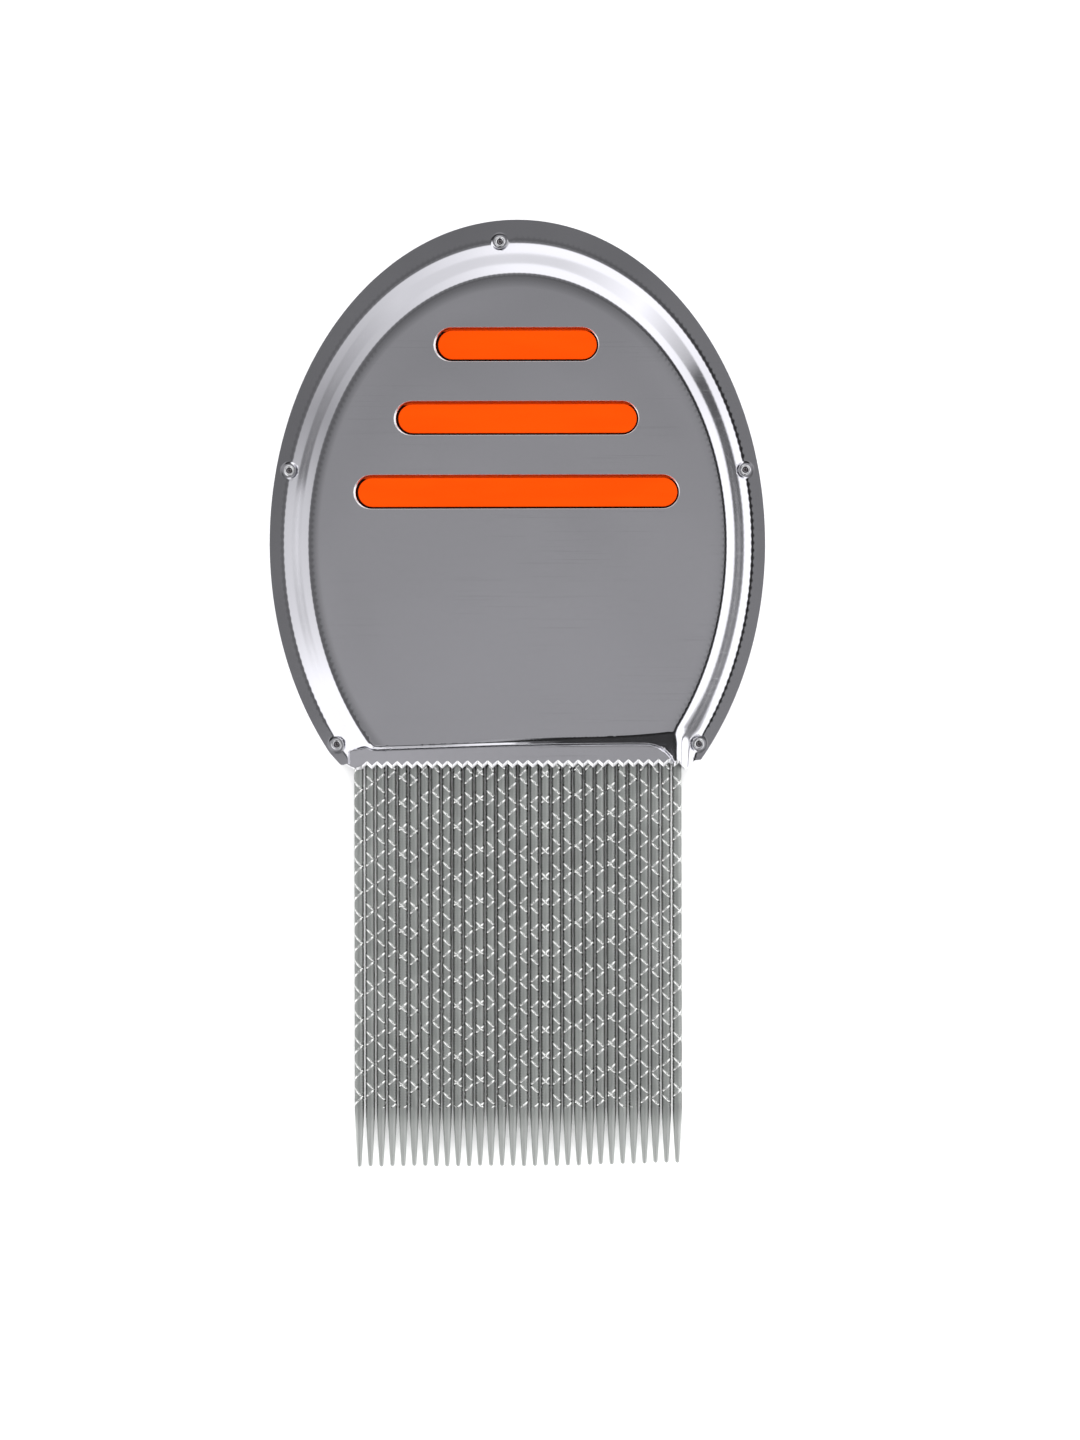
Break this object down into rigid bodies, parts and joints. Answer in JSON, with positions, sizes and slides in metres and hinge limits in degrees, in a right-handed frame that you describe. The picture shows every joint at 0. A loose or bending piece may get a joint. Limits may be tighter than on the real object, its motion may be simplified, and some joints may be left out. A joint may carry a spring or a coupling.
{
  "type": "flea comb",
  "caption": "Rigid metal flea and lice comb: egg-shaped pressed steel handle with coloured grip bars, and a row of fine round wire teeth with blunt tips.",
  "frame": {"origin": "under the middle of the comb, on the surface that its back panel lies on", "axes": "+X to the right across the handle, +Y from the tooth tips to the top of the handle, +Z out of the front panel"},
  "size_m": [0.0524, 0.1, 0.005],
  "materials": {
    "shell_steel": "polished",
    "tooth_steel": "satin",
    "eyelet_steel": "polished",
    "grip_orange": "satin"
  },
  "bodies": {
    "root": {"front_shell": "shell_steel", "back_shell": "shell_steel", "grip_insert": "grip_orange", "tooth_01": "tooth_steel", "tooth_02": "tooth_steel", "tooth_03": "tooth_steel", "tooth_04": "tooth_steel", "tooth_05": "tooth_steel", "tooth_06": "tooth_steel", "tooth_07": "tooth_steel", "tooth_08": "tooth_steel", "tooth_09": "tooth_steel", "tooth_10": "tooth_steel", "tooth_11": "tooth_steel", "tooth_12": "tooth_steel", "tooth_13": "tooth_steel", "tooth_14": "tooth_steel", "tooth_15": "tooth_steel", "tooth_16": "tooth_steel", "tooth_17": "tooth_steel", "tooth_18": "tooth_steel", "tooth_19": "tooth_steel", "tooth_20": "tooth_steel", "tooth_21": "tooth_steel", "tooth_22": "tooth_steel", "tooth_23": "tooth_steel", "tooth_24": "tooth_steel", "tooth_25": "tooth_steel", "tooth_26": "tooth_steel", "tooth_27": "tooth_steel", "tooth_28": "tooth_steel", "tooth_29": "tooth_steel", "tooth_30": "tooth_steel", "eyelet_top": "eyelet_steel", "eyelet_left": "eyelet_steel", "eyelet_right": "eyelet_steel", "eyelet_lower_left": "eyelet_steel", "eyelet_lower_right": "eyelet_steel"}
  },
  "joints": []
}
